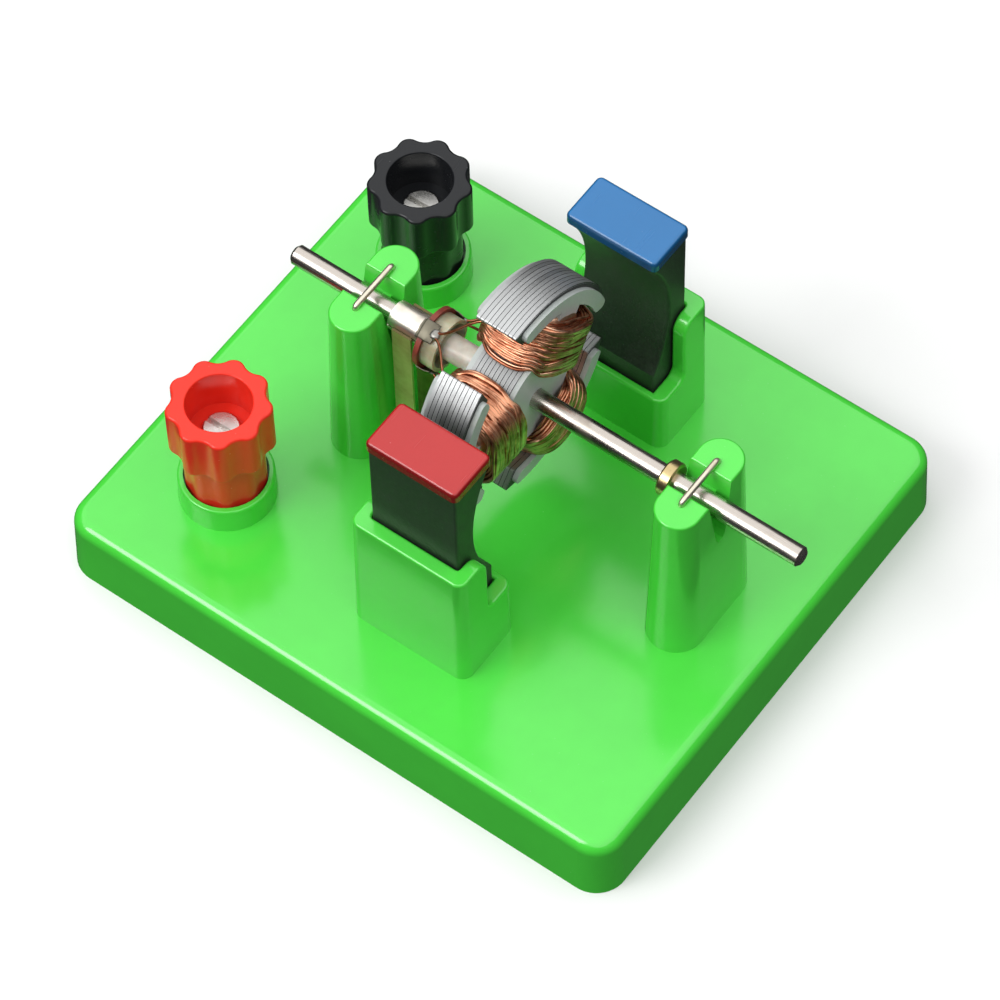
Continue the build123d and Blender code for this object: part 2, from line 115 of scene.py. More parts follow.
class Finish:
    """One procedural material, read on Object coordinates; surface() closes it."""

    def __init__(self, name):
        self.material = bpy.data.materials.new(name)
        self.material.use_nodes = True
        self.tree = self.material.node_tree
        self.tree.nodes.clear()
        self.place = self.node("ShaderNodeTexCoord", {}, {}, "Object")

    def node(self, kind, settings=None, inputs=None, output=0):
        """Add a node: its settings first, then the values or links of its sockets."""
        made = self.tree.nodes.new(kind)
        for key, value in (settings or {}).items():
            setattr(made, key, value)
        for key, value in (inputs or {}).items():
            if isinstance(value, Wired):
                self.tree.links.new(value.socket, made.inputs[key])
            elif value is not None:
                made.inputs[key].default_value = value
        return Wired(self, made.outputs[output])

    def noise(self, scale, detail=2.0, roughness=0.5, stretch=None):
        """Noise from 0 to 1; scale is in features per metre, and stretch slows it along axes."""
        where = self.place
        if stretch is not None:
            where = self.node("ShaderNodeMapping", {}, {"Vector": where, "Scale": stretch})
        values = {"Vector": where, "Scale": scale, "Detail": detail, "Roughness": roughness}
        return self.node("ShaderNodeTexNoise", {}, values)

    def speckle(self, scale):
        """Distance to the nearest of many scattered points, in cell widths."""
        values = {"Vector": self.place, "Scale": scale}
        return self.node("ShaderNodeTexVoronoi", {}, values)

    def axis(self, name):
        """One coordinate of the place on the piece, in metres."""
        return self.node("ShaderNodeSeparateXYZ", {}, {0: self.place}, name)

    def facing(self, name):
        """One coordinate of the direction in which the surface faces, from -1 to 1."""
        normal = self.node("ShaderNodeTexCoord", {}, {}, "Normal")
        return self.node("ShaderNodeSeparateXYZ", {}, {0: normal}, name)

    def between(self, value, low, high, to_low=0.0, to_high=1.0):
        """Smooth step of value from low to high, given as to_low to to_high."""
        settings = {"interpolation_type": "SMOOTHSTEP"}
        values = {0: value, 1: low, 2: high, 3: to_low, 4: to_high}
        return self.node("ShaderNodeMapRange", settings, values)

    def mix(self, factor, first, second):
        """Colour between first and second."""
        settings = {"data_type": "RGBA"}
        return self.node("ShaderNodeMix", settings, {0: factor, 6: first, 7: second}, 2)

    def bump(self, height, distance):
        """Normal from a height of 0 to 1, whose full range stands distance metres high."""
        values = {"Strength": 1.0, "Distance": distance, "Height": height}
        return self.node("ShaderNodeBump", {}, values)

    def surface(self, **inputs):
        """Close the material with a Principled shader; words name its sockets."""
        values = {key.replace("_", " "): value for key, value in inputs.items()}
        shader = self.node("ShaderNodeBsdfPrincipled", {}, values)
        output = self.tree.nodes.new("ShaderNodeOutputMaterial")
        self.tree.links.new(shader.socket, output.inputs["Surface"])
        return self.material


def rgb(colour, share=1.0):
    """A colour property as a socket value, scaled by share."""
    return (colour[0] * share, colour[1] * share, colour[2] * share, 1.0)


# ------------------------------------------------------------------ finishes
def moulded_plastic(name, colour, grain, gloss, shine, painted_side_shade=0.0):
    """Glossy moulded plastic: faint cloudiness, orange peel, fine scratches and dust.

    The last share paints shade on the sides: it deepens the colour where the surface leans away from
    facing up.
    """
    f = Finish(name)
    shaded_side = f.between(f.facing("Z"), 0.55, 0.97, painted_side_shade, 0.0)
    cloud = f.noise(55.0, 3.0, 0.55)
    mottle = f.noise(420.0, 2.0, 0.5)
    tone = f.mix(f.between(cloud, 0.3, 0.7), rgb(colour, 0.96), rgb(colour, 1.04))
    tone = f.mix(f.between(mottle, 0.35, 0.75) * 0.08, tone, rgb(colour, 0.82))
    scratches = f.noise(1300.0, 2.0, 0.6, (1.0, 0.05, 1.0))
    fleck = f.between(f.speckle(520.0), 0.03, 0.06, 1.0, 0.0)
    rough = gloss + f.between(scratches, 0.5, 0.75) * 0.05 + fleck * 0.08 + cloud * 0.06
    tone = f.mix(fleck * 0.05, tone, rgb((0.75, 0.8, 0.74)))
    # painted shade: the sides are darkened, most where they lean furthest from facing up
    tone = f.mix(shaded_side, tone, rgb(colour, 0.3))
    height = f.noise(150.0, 2.0, 0.5) * 0.94 + scratches * 0.06
    return f.surface(
        Base_Color=tone, Roughness=rough, Specular_IOR_Level=shine,
        Normal=f.bump(height, 0.00004 * grain),
    )


def drawn_steel(name, colour, along, gloss):
    """Bright drawn or ground steel: fine marks along one axis and faint dull patches."""
    f = Finish(name)
    stretch = tuple(0.04 if axis == along else 1.0 for axis in "XYZ")
    marks = f.noise(5200.0, 2.0, 0.6, stretch)
    rings = f.noise(2400.0, 2.0, 0.6, (1.0, 0.05, 0.05))
    patches = f.noise(160.0, 4.0, 0.6)
    stain = f.between(patches, 0.52, 0.72)
    dull = rgb((colour[0] * 0.72, colour[1] * 0.66, colour[2] * 0.55))
    tone = f.mix(stain * 0.5, rgb(colour), dull)
    rough = gloss + stain * 0.16 + f.between(marks, 0.4, 0.8) * 0.08
    return f.surface(
        Base_Color=tone, Metallic=1.0, Roughness=rough,
        Normal=f.bump(marks * 0.6 + rings * 0.4, 0.000012),
    )


def plated_metal(name, colour, gloss):
    """Plated turned metal: fine turning marks, small dull spots and soft wear."""
    f = Finish(name)
    fine = f.noise(3800.0, 2.0, 0.6)
    spots = f.between(f.speckle(900.0), 0.08, 0.2, 1.0, 0.0)
    cloud = f.noise(300.0, 3.0, 0.6)
    tone = f.mix(f.between(cloud, 0.4, 0.7), rgb(colour), rgb(colour, 0.82))
    tone = f.mix(spots * 0.25, tone, rgb(colour, 0.5))
    rough = gloss + f.between(cloud, 0.4, 0.75) * 0.1 + spots * 0.1
    return f.surface(Base_Color=tone, Metallic=1.0, Roughness=rough, Normal=f.bump(fine, 0.00001))


def punched_laminations(name, colour):
    """Punched sheet edges: each lamination its own brightness, sheared marks, dark gaps, painted
    shade near the hub between the coils and painted shade on the faces at the stack's ends.
    """
    f = Finish(name)
    sheet = (f.axis("X") - core_low.x) / SHEET
    number = sheet.math("FLOOR")
    own = f.node("ShaderNodeTexWhiteNoise", {"noise_dimensions": "1D"}, {"W": number})
    within = sheet.math("FRACT")
    edge = f.between((within - 0.5).math("ABSOLUTE"), 0.42, 0.5)
    shear = f.noise(2600.0, 3.0, 0.65, (0.25, 1.0, 1.0))
    streak = f.noise(9000.0, 2.0, 0.6, (0.05, 1.0, 1.0))
    rust = f.between(f.noise(700.0, 4.0, 0.65), 0.6, 0.78)
    from_axis = (f.axis("Y") ** 2.0 + (f.axis("Z") - AXIS_Z) ** 2.0) ** 0.5
    inner = f.between(from_axis, HUB * 1.05, HUB * 1.4, 1.0, 0.0)
    shaded_flank = f.between(f.facing("X").math("ABSOLUTE"), 0.6, 0.9)
    tone = f.mix(own * 0.5 + streak * 0.25, rgb(colour, 0.86), rgb(colour, 1.12))
    tone = f.mix(edge * (0.14 - inner * 0.1), tone, rgb(colour, 0.3))
    # painted shade: the core is darkened near the hub, where the coils shade it
    tone = f.mix(inner * 0.5, tone, rgb(colour, 0.45))
    # painted shade: faces that look along the shaft, at the stack's ends, are darkened
    tone = f.mix(shaded_flank * 0.85, tone, rgb(colour, 0.16))
    tone = f.mix(rust * 0.15, tone, (0.3, 0.24, 0.18, 1.0))
    rough = 0.42 + own * 0.05 + shear * 0.1 + rust * 0.15 + inner * 0.12 + shaded_flank * 0.25
    height = shear * 0.5 + streak * 0.25 + (1.0 - edge) * 0.25
    return f.surface(Base_Color=tone, Metallic=1.0, Roughness=rough, Normal=f.bump(height, 0.00005))


def ferrite(name, colour):
    """Sintered ferrite: near-black grains, tiny pits, dusty ground faces."""
    f = Finish(name)
    grains = f.noise(2300.0, 4.0, 0.7)
    pits = f.between(f.speckle(1500.0), 0.05, 0.16, 1.0, 0.0)
    grinding = f.noise(1500.0, 2.0, 0.6, (1.0, 1.0, 0.06))
    dust = f.between(f.noise(120.0, 4.0, 0.6), 0.45, 0.8)
    tone = f.mix(f.between(grains, 0.35, 0.7), rgb(colour, 0.7), rgb(colour, 1.45))
    tone = f.mix(dust * 0.3, tone, (0.07, 0.085, 0.07, 1.0))
    rough = 0.34 + grains * 0.2 + dust * 0.14
    height = grains * 0.5 + grinding * 0.3 - pits * 0.7
    return f.surface(Base_Color=tone, Roughness=rough, Normal=f.bump(height, 0.00007))


def enamelled_copper(name, colour):
    """Enamelled wire: copper under a clear coat, with darker and paler stretches that are painted
    shade and painted highlight, laid at random along the wire.
    """
    f = Finish(name)
    stretch = f.noise(420.0, 3.0, 0.6)
    small = f.noise(900.0, 2.0, 0.5)
    # painted shade and painted highlight: the dark and pale colours stand in for shade and glints on
    # the turns
    dark = rgb((colour[0] * 0.36, colour[1] * 0.2, colour[2] * 0.14))
    pale = rgb((1.0, 0.66, 0.45))
    tone = f.mix(f.between(stretch, 0.38, 0.68) * 0.85, rgb(colour), dark)
    own = f.node("ShaderNodeAttribute", {"attribute_name": "tone"}, {}, "Fac")
    tone = f.mix(f.between(own, 0.45, 0.95) * 0.75, tone, dark)
    tone = f.mix(f.between(own, 0.0, 0.35, 0.6, 0.0), tone, pale)
    rough = 0.3 + small * 0.12
    return f.surface(
        Base_Color=tone, Metallic=1.0, Roughness=rough, Normal=f.bump(small, 0.00002),
        Coat_Weight=0.3, Coat_Roughness=0.25,
    )


def pressed_board(name, colour):
    """Pale insulating board: fine fibres, faint stains and a slightly waxy gloss."""
    f = Finish(name)
    fibres = f.noise(1700.0, 4.0, 0.65, (1.0, 1.0, 0.35))
    stains = f.between(f.noise(260.0, 3.0, 0.6), 0.5, 0.8)
    tone = f.mix(fibres * 0.6, rgb(colour, 0.84), rgb(colour, 1.1))
    tone = f.mix(stains * 0.35, tone, rgb((0.42, 0.4, 0.3)))
    return f.surface(
        Base_Color=tone, Roughness=0.42 + fibres * 0.2, Normal=f.bump(fibres, 0.00004),
        Coat_Weight=0.15, Coat_Roughness=0.3,
    )


def waxy_plastic(name, colour, tint):
    """Half-clear insulating plastic: cloudy depth, swirls, and painted shade next to the disc."""
    f = Finish(name)
    swirl = f.noise(340.0, 4.0, 0.6)
    fine = f.noise(1900.0, 2.0, 0.5)
    shade_by_disc = f.between(f.axis("X"), disc_high.x + 0.6 * MM, disc_high.x + 1.7 * MM, 1.0, 0.0)
    tone = f.mix(f.between(swirl, 0.3, 0.7), rgb(colour), rgb(tint))
    # painted shade: the plastic is darkened on the disc's side, fading out just past the disc's face
    tone = f.mix(shade_by_disc * 0.6, tone, rgb(colour, 0.4))
    rough = 0.24 + swirl * 0.2
    return f.surface(
        Base_Color=tone, Roughness=rough, Normal=f.bump(swirl * 0.6 + fine * 0.4, 0.00005),
        Subsurface_Weight=0.3, Subsurface_Scale=0.002, Coat_Weight=0.3, Coat_Roughness=0.15,
    )


def fibre_board(name, colour):
    """Vulcanised fibre: red-brown, layered across its edge, with a dry sheen."""
    f = Finish(name)
    layers = f.noise(5200.0, 2.0, 0.6, (1.0, 0.12, 0.12))
    blot = f.noise(600.0, 3.0, 0.6)
    tone = f.mix(f.between(blot, 0.3, 0.7), rgb(colour, 0.75), rgb(colour, 1.35))
    tone = f.mix(layers * 0.3, tone, rgb(colour, 0.5))
    return f.surface(Base_Color=tone, Roughness=0.38 + blot * 0.2, Normal=f.bump(layers, 0.00004))


def spring_strip(name, colour):
    """Springy bronze strip: rolled grain down its length, a brown bloom, and painted shade on the
    faces that look up.
    """
    f = Finish(name)
    grain = f.noise(3000.0, 2.0, 0.6, (1.0, 1.0, 0.05))
    bloom = f.between(f.noise(240.0, 4.0, 0.6), 0.4, 0.75)
    edge = f.between(f.facing("Z"), 0.6, 0.9)
    brown = rgb((colour[0] * 0.6, colour[1] * 0.55, colour[2] * 0.5))
    tone = f.mix(bloom * 0.6, rgb(colour), brown)
    # painted shade: faces that look up are darkened
    tone = f.mix(edge * 0.8, tone, rgb(colour, 0.15))
    rough = 0.42 + bloom * 0.16 + grain * 0.06 + edge * 0.2
    return f.surface(Base_Color=tone, Metallic=0.75, Roughness=rough, Normal=f.bump(grain, 0.00002))


def solder(name):
    """Solder: dull silver with a frosted, slightly wrinkled skin."""
    f = Finish(name)
    frost = f.noise(2600.0, 3.0, 0.6)
    tone = f.mix(frost, (0.14, 0.135, 0.12, 1.0), (0.46, 0.45, 0.42, 1.0))
    rough = 0.26 + frost * 0.25
    return f.surface(Base_Color=tone, Metallic=1.0, Roughness=rough, Normal=f.bump(frost, 0.00006))


def dress(node, material):
    """Put a finish on a CAD node's slots, without touching its mesh."""
    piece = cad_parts[node]
    if not piece.material_slots:
        piece.data.materials.append(None)
    for held in piece.material_slots:
        held.link = "OBJECT"
        held.material = material


# ------------------------------------------------------------------ mesh helpers
def grid_faces(rows, columns, wrap):
    """Quads between neighbouring rows and columns; wrap joins the last column to the first."""
    r = np.arange(rows - 1)[:, None]
    c = np.arange(columns if wrap else columns - 1)[None, :]
    right = (c + 1) % columns
    quads = np.stack([r * columns + c, r * columns + right,
                      (r + 1) * columns + right, (r + 1) * columns + c], axis=-1)
    return quads.reshape(-1, 4)


def build(name, points, faces, material, body):
    """Make a smooth piece from points and faces, dress it and let it ride on a body."""
    mesh = bpy.data.meshes.new(name)
    mesh.from_pydata(points.tolist(), [], faces)
    mesh.update()
    piece = bpy.data.objects.new(name, mesh)
    bpy.context.scene.collection.objects.link(piece)
    mesh.polygons.foreach_set("use_smooth", np.full(len(mesh.polygons), True))
    mesh.materials.append(material)
    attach(piece, body)
    return piece


def tube(path, radius, sides, reference):
    """Points and faces of a round tube along a path.

    Each ring is the path's point plus radius * (cos v * a + sin v * b), where a is the
    reference direction made square to the path and b is square to both.
    """
    ahead = np.gradient(path, axis=0)
    ahead /= np.linalg.norm(ahead, axis=1, keepdims=True)
    a = reference - ahead * np.sum(reference * ahead, axis=1, keepdims=True)
    a /= np.linalg.norm(a, axis=1, keepdims=True)
    b = np.cross(ahead, a)
    v = np.linspace(0, 2 * np.pi, sides, endpoint=False)
    ring = a[:, None, :] * np.cos(v)[None, :, None] + b[:, None, :] * np.sin(v)[None, :, None]
    points = path[:, None, :] + np.asarray(radius).reshape(-1, 1, 1) * ring
    faces = grid_faces(len(path), sides, True).tolist()
    last = (len(path) - 1) * sides
    faces.append(list(range(sides))[::-1])
    faces.append([last + k for k in range(sides)])
    return points.reshape(-1, 3), faces


def pole_points(angle, x, outward, sideways):
    """Points at x from the core's middle, outward along a pole and sideways from it.

    y = outward * cos A - sideways * sin A, z = outward * sin A + sideways * cos A.
    """
    turn = math.radians(angle)
    x, outward, sideways = np.broadcast_arrays(x, outward, sideways)
    y = outward * math.cos(turn) - sideways * math.sin(turn)
    z = outward * math.sin(turn) + sideways * math.cos(turn)
    return np.stack([CORE_X + x, y, AXIS_Z + z], axis=-1)


# ------------------------------------------------------------------ coils
def oval(w, turn, lift):
    """Sideways and along of an oval about a pole, (a + lift) cos t and (b + lift) sin t.

    The cosine and sine are raised to the power w.square and keep their sign, so that
    the oval's sides stay straight. The end at the commutator is squarer, and stands out
    from the end plate by only the share w.near of what the other end does.
    """
    c, s = np.cos(turn), np.sin(turn)
    power = np.where(s < 0, w.square - w.sharper, w.square)
    reach = w.along + lift
    reach = np.where(s < 0, PLATE_X + (reach - PLATE_X) * w.near, reach)
    sideways = (w.across + lift) * np.sign(c) * np.abs(c) ** power
    return sideways, reach * np.sign(s) * np.abs(s) ** power


def hub_floor(sideways, along, gap):
    """Lowest distance out along a pole that stays gap above the hub.

    It is the root of (hub + gap) squared less sideways squared, and it falls away over
    a millimetre past the end plates.
    """
    past = np.clip((np.abs(along) - PLATE_X - gap) / MM, 0, 1)
    round_hub = np.sqrt(np.clip((HUB + gap) ** 2 - sideways ** 2, 0, None))
    return round_hub * (1 - past * past * (3 - 2 * past))


def kept_clear(outward, sideways, along, gap):
    """Distance out along a pole, kept gap clear of the hub and of the shoes' inside."""
    outward = np.maximum(outward, hub_floor(sideways, along, gap))
    return np.minimum(outward, np.sqrt((SHOE - gap) ** 2 - sideways ** 2))


def smoothed(values, width):
    """Values averaged under a Hann window of width samples along the wire."""
    window = np.hanning(width + 2)[1:-1]
    padded = np.pad(values, width // 2, mode="edge")
    return np.convolve(padded, window / window.sum(), mode="valid")


def laid_turns(w):
    """Where each turn of a coil lies: its distance out and its lift off the first layer.

    The turns run out and back along the pole as a triangle wave and wander by a few slow
    waves, more in the outer layers. Each layer slumps lower down the coil's sides than
    the last and stops shorter at its ends, and a layer whose inner end would lie in the
    hub is drawn together above it. Each turn rests on those laid before it: its lift is
    the greatest of their lift plus the height of one round wire on another, the square
    root of d * d - gap * gap. A turn lower than the first layer rests on the round hub.
    """
    step_back = 1.4  # turns that a new layer lies back from the last one's end
    layer_height = 0.87 * w.wire  # of a layer that lies in the last one's grooves
    waves = ((0.37, 0.5), (0.83, 0.4), (1.61, 0.35), (2.3, 0.2))  # per turn, and size
    chance = np.random.default_rng(w.seed)
    theta = np.arange(w.turns * w.samples) / w.samples
    turn = 2 * np.pi * theta
    place, heading, layer = w.low, w.wire * w.spacing, 0
    lanes = [(place, layer)]
    for _ in range(w.turns):
        place += heading
        if not w.low - w.slump * layer <= place <= w.high - w.shy * layer:
            heading = -heading
            layer += 1
            place += heading * step_back
        lanes.append((place, layer))
    outward, layer = (np.interp(theta, np.arange(w.turns + 1), lane) for lane in zip(*lanes))
    for frequency, size in waves:
        wave = np.sin(2 * np.pi * (frequency * theta + chance.random()))
        outward += w.wander * (0.5 + 0.3 * layer) * size * wave
    base = w.low - w.slump * layer
    share = np.clip((outward - base) / (w.high - base), 0, 1)
    base = np.maximum(base, hub_floor(*oval(w, turn, layer_height * layer), w.wire / 2))
    shift = (w.slump + w.rise) * layer - w.droop
    outward = base + share * (w.high - base) + shift * np.sin(turn) ** 2 * (1 - share)
    rows = outward.reshape(w.turns, w.samples)
    round_hub = np.sqrt(np.clip((HUB + w.wire / 2) ** 2 - rows ** 2, 0, None)) - w.across
    lift = np.clip(round_hub, 0, None) * (1 - np.sin(turn.reshape(rows.shape)) ** 4)
    for n in range(1, w.turns):
        gap = np.abs(rows[:n] - rows[n])
        on = lift[:n] + np.sqrt(np.clip(w.wire ** 2 - gap ** 2, 0, None))
        lift[n] = np.maximum(lift[n], np.max(np.where(gap < w.wire, on, 0), axis=0))
    return theta, outward, smoothed(np.minimum(lift.reshape(-1), w.pile), 11)


def lead_path(angle, side, w):
    """A coil's lead from inside its near end to the tab beside it.

    x runs evenly; y and z follow the smooth S 3 u * u - 2 u * u * u, and a share of
    sin(pi u) bows the lead a little away from the shaft.
    """
    back, wide, bow = -0.9 * w.along, 0.8 * w.across, 0.1
    start = pole_points(angle, back, w.low + w.lead_rise, side * wide)
    tab = math.radians(angle + side * (TO_GAP - w.tab_half))
    across = np.array([0.0, math.cos(tab), math.sin(tab)]) * w.tab_radius
    foot = np.array([disc_low.x + w.tab_reach, 0.0, AXIS_Z]) + across
    u = np.linspace(0, 1, 26)[:, None]
    path = start + (foot - start) * u * u * (3 - 2 * u)
    path[:, 0] = start[0] + (foot[0] - start[0]) * u[:, 0]
    return path + across * bow * np.sin(np.pi * u)


def filled_oval(angle, w):
    """The coil's plain inner turns: a filled oval about the pole, rounded at both ends.

    Its section at height u is the wire's oval drawn in by 1 - sin(pi u) to the power 0.6,
    and its ends close on the pole's neck.
    """
    rows, columns, over = 19, 96, 0.3 * MM
    v = np.linspace(0, 2 * np.pi, columns, endpoint=False)
    u = np.linspace(0, 1, rows)[:, None]
    out = w.low - w.slump + (w.high - w.low + w.slump + over) * u
    inset = -0.2 * w.wire - 0.9 * MM * (1 - np.sin(np.pi * u) ** 0.6)
    sideways, along = oval(w, v[None, :], inset)
    outer = pole_points(angle, along, kept_clear(out, sideways, along, 0.1 * MM), sideways)
    neck = pole_points(angle, PLATE_X * np.sin(v)[None, :], out, NECK * np.cos(v)[None, :])
    points = np.concatenate([neck[:1], outer, neck[-1:]]).reshape(-1, 3)
    return points, (grid_faces(rows + 3, columns, True) % len(points)).tolist()


def wind_coil(number, angle, w, copper):
    """One coil: the plain inner turns as a filled oval, the visible wire over it, its leads."""
    points, faces = filled_oval(angle, w)
    theta, outward, lift = laid_turns(w)
    sideways, along = oval(w, 2 * np.pi * theta, lift)
    path = pole_points(angle, along, kept_clear(outward, sideways, along, w.wire / 2), sideways)
    path = np.stack([smoothed(path[:, k], 5) for k in range(3)], axis=-1)
    reference = pole_points(angle, 0.0, 1.0, 0.0) - pole_points(angle, 0.0, 0.0, 0.0)
    wire_points, wire_faces = tube(path, w.wire / 2, w.sides, reference)
    faces += [[k + len(points) for k in face] for face in wire_faces]
    chance = np.random.default_rng(w.seed + 1)
    # painted highlight and painted shade: each turn gets a random tone from pale to dark
    changes = 2.3  # of tone in one turn
    tones = np.interp(theta * changes, np.arange(w.turns * 3), chance.random(w.turns * 3))
    tones = np.concatenate([np.zeros(len(points)), np.repeat(tones, w.sides)])
    points = np.concatenate([points, wire_points])
    piece = build(f"coil_{number}_winding", points, faces, copper, "rotor")
    toned(piece, tones)
    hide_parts(f"coil_{number}_inner_turns", f"coil_{number}_outer_turns")
    for side, word in ((1, "first"), (-1, "last")):
        points, faces = tube(lead_path(angle, side, w), w.wire * 0.45, w.sides, reference)
        piece = build(f"coil_{number}_{word}_lead", points, faces, copper, "rotor")
        # painted shade: the leads take the darkest tone all along
        toned(piece, np.ones(len(points)))


def toned(piece, values):
    """Store one tone for each point, from 0 for pale wire, painted highlight, to 1 for dark wire,
    painted shade.
    """
    piece.data.attributes.new("tone", "FLOAT", "POINT").data.foreach_set("value", values)


def riser(name, angle, w, material):
    """A commutator tab: it leaves a segment, climbs the disc, folds over it and lies back.

    Its middle runs through (x, radius) pairs in millimetres from the disc's near face,
    with averaged corners. Round it goes a section of half width * cos v by half
    thickness * sin v, both to the power 0.35 so that it is nearly square, and its width
    is laid round the shaft as an angle.
    """
    rows, columns = 48, 16
    on_segment, over_disc, tip = 2.5, 5.06, 4.8
    bends = ((-1.5, on_segment), (-0.15, on_segment), (-0.15, over_disc), (1.2, over_disc),
             (w.tab_reach / MM, tip))
    bends = np.array(bends) * MM
    run = np.append(0, np.cumsum(np.linalg.norm(np.diff(bends, axis=0), axis=1)))
    s = np.linspace(0, run[-1], rows)
    x, r = (smoothed(np.interp(s, run, bends[:, k]), 5)[:, None] for k in (0, 1))
    dx, dr = np.gradient(x, axis=0), np.gradient(r, axis=0)
    v = np.linspace(0, 2 * np.pi, columns, endpoint=False)[None, :]
    wide, thick = (np.sign(k) * np.abs(k) ** 0.35 for k in (np.cos(v), np.sin(v)))
    off = w.tab_thickness / 2 * thick / np.hypot(dx, dr)
    out = r + off * dx
    turn = math.radians(angle) - w.tab_width / 2 * wide / r
    points = np.stack([disc_low.x + x - off * dr, out * np.cos(turn),
                       AXIS_Z + out * np.sin(turn)], axis=-1).reshape(-1, 3)
    faces = grid_faces(rows, columns, True).tolist()
    last = (rows - 1) * columns
    faces += [list(range(columns))[::-1], [last + k for k in range(columns)]]
    return build(name, points, faces, material, "rotor")


def bead(name, centre, radii, angle, material):
    """A solder bead: an egg on a tab's end, a little lumpy.

    x = rx * sin u, outward = ro * cos u * cos v, sideways = rs * cos u * sin v, each
    times 1 + 0.08 * sin(3 v) * cos u.
    """
    rows, columns = 13, 24
    u = np.linspace(-np.pi / 2, np.pi / 2, rows + 2)[1:-1, None]
    v = np.linspace(0, 2 * np.pi, columns, endpoint=False)[None, :]
    lump = 1 + 0.08 * np.sin(3 * v) * np.cos(u)
    x = centre[0] - CORE_X + radii[0] * np.sin(u) * lump
    outward = centre[1] + radii[1] * np.cos(u) * np.cos(v) * lump
    sideways = radii[2] * np.cos(u) * np.sin(v) * lump
    points = pole_points(angle, x, outward, sideways).reshape(-1, 3)
    tips = pole_points(angle, centre[0] - CORE_X + np.array([-radii[0], radii[0]]),
                       np.full(2, centre[1]), np.zeros(2))
    faces = grid_faces(rows, columns, True).tolist()
    low, high, last = len(points), len(points) + 1, (rows - 1) * columns
    faces += [[low, (k + 1) % columns, k] for k in range(columns)]
    faces += [[high, last + k, last + (k + 1) % columns] for k in range(columns)]
    points = np.concatenate([points, tips])
    return build(name, points, faces, material, "rotor")


# ------------------------------------------------------------------ sizes and colours
def colour_property(name, description, default):
    """A colour a user may change."""
    return FloatVectorProperty(name=name, description=description, default=default,
                               subtype="COLOR", size=3, min=0.0, max=1.0)


def length_property(name, description, default):
    """A length a user may change, in metres."""
    return FloatProperty(name=name, description=description, default=default,
                         unit="LENGTH", subtype="DISTANCE", precision=5)


def place_property(name, description, default):
    """A point a user may change, in metres."""
    return FloatVectorProperty(name=name, description=description, default=default,
                               unit="LENGTH", subtype="TRANSLATION", size=3, precision=5)


def plain_property(name, description, default):
    """A plain number a user may change."""
    return FloatProperty(name=name, description=description, default=default)


def count_property(name, description, default):
    """A whole number a user may change."""
    return IntProperty(name=name, description=description, default=default, min=1, max=400)


class MotorWinding(PropertyGroup):
    wire: length_property("Wire", "Diameter of the enamelled wire", 0.47 * MM)
    low: length_property("Inner reach", "First layer's inner end, from the shaft's axis", 6.7 * MM)
    high: length_property("Outer reach", "First layer's outer end, from the shaft's axis", 13.7 * MM)
    slump: length_property("Slump", "How much lower down the sides each layer reaches", 0.5 * MM)
    shy: length_property("Shortfall", "How much each layer falls short of the last", 0.2 * MM)
    rise: length_property("Rise", "How much shorter each layer stops at the coil's ends", 0.3 * MM)
    droop: length_property("Droop", "How far the coil's ends hang before the end plates", 1.7 * MM)
    across: length_property("Half width", "First layer's half width across the pole", 5.25 * MM)
    along: length_property("Half length", "First layer's half length along the shaft", 5.35 * MM)
    pile: length_property("Pile", "Greatest lift of a turn off the first layer", 1.65 * MM)
    wander: length_property("Wander", "How far a turn strays from its lane", 0.8 * MM)
    lead_rise: length_property("Lead rise", "How far above the inner reach a lead starts", 1.8 * MM)
    tab_radius: length_property("Tab radius", "Where the leads meet the tabs", 4.95 * MM)
    tab_reach: length_property("Tab reach", "How far a tab lies past the disc's front face", 2.3 * MM)
    tab_width: length_property("Tab width", "Width of a commutator tab", 3.2 * MM)
    tab_thickness: length_property("Tab thickness", "Thickness of a commutator tab", 0.28 * MM)
    tab_half: plain_property("Tab half angle", "Angle from a tab's middle to a lead, in degrees", 5.0)
    spacing: plain_property("Spacing", "Distance between turns, in wire diameters", 1.04)
    square: plain_property("Squareness", "Power that straightens the coil's sides", 0.7)
    sharper: plain_property("Sharper end", "Less of that power at the commutator's end", 0.12)
    near: plain_property("Near end", "Share of the bulge at the commutator's end", 0.72)
    turns: count_property("Turns", "Turns that show", 78)
    samples: count_property("Samples", "Points in one turn", 72)
    sides: count_property("Sides", "Sides of the round wire", 8)
    seed: count_property("Seed", "Seed of the turns' wandering", 7)


class MotorColours(PropertyGroup):
    green: colour_property("Green", "Base moulding", (0.065, 0.64, 0.05))
    red: colour_property("Red", "Red terminal knob", (0.78, 0.03, 0.015))
    black: colour_property("Black", "Black terminal knob", (0.012, 0.013, 0.015))
    red_cap: colour_property("Red cap", "Cap of the red magnet", (0.42, 0.014, 0.014))
    blue_cap: colour_property("Blue cap", "Cap of the blue magnet", (0.012, 0.14, 0.36))
    magnet: colour_property("Ferrite", "Magnet blocks", (0.014, 0.02, 0.015))
    steel: colour_property("Steel", "Shaft", (0.52, 0.475, 0.43))
    staple: colour_property("Staple wire", "Staples over the shaft", (0.74, 0.69, 0.56))
    sheet: colour_property("Sheet steel", "Rotor laminations", (0.56, 0.57, 0.57))
    copper: colour_property("Copper", "Enamelled wire", (0.95, 0.46, 0.27))
    board: colour_property("Board", "End plates of the rotor", (0.46, 0.5, 0.48))


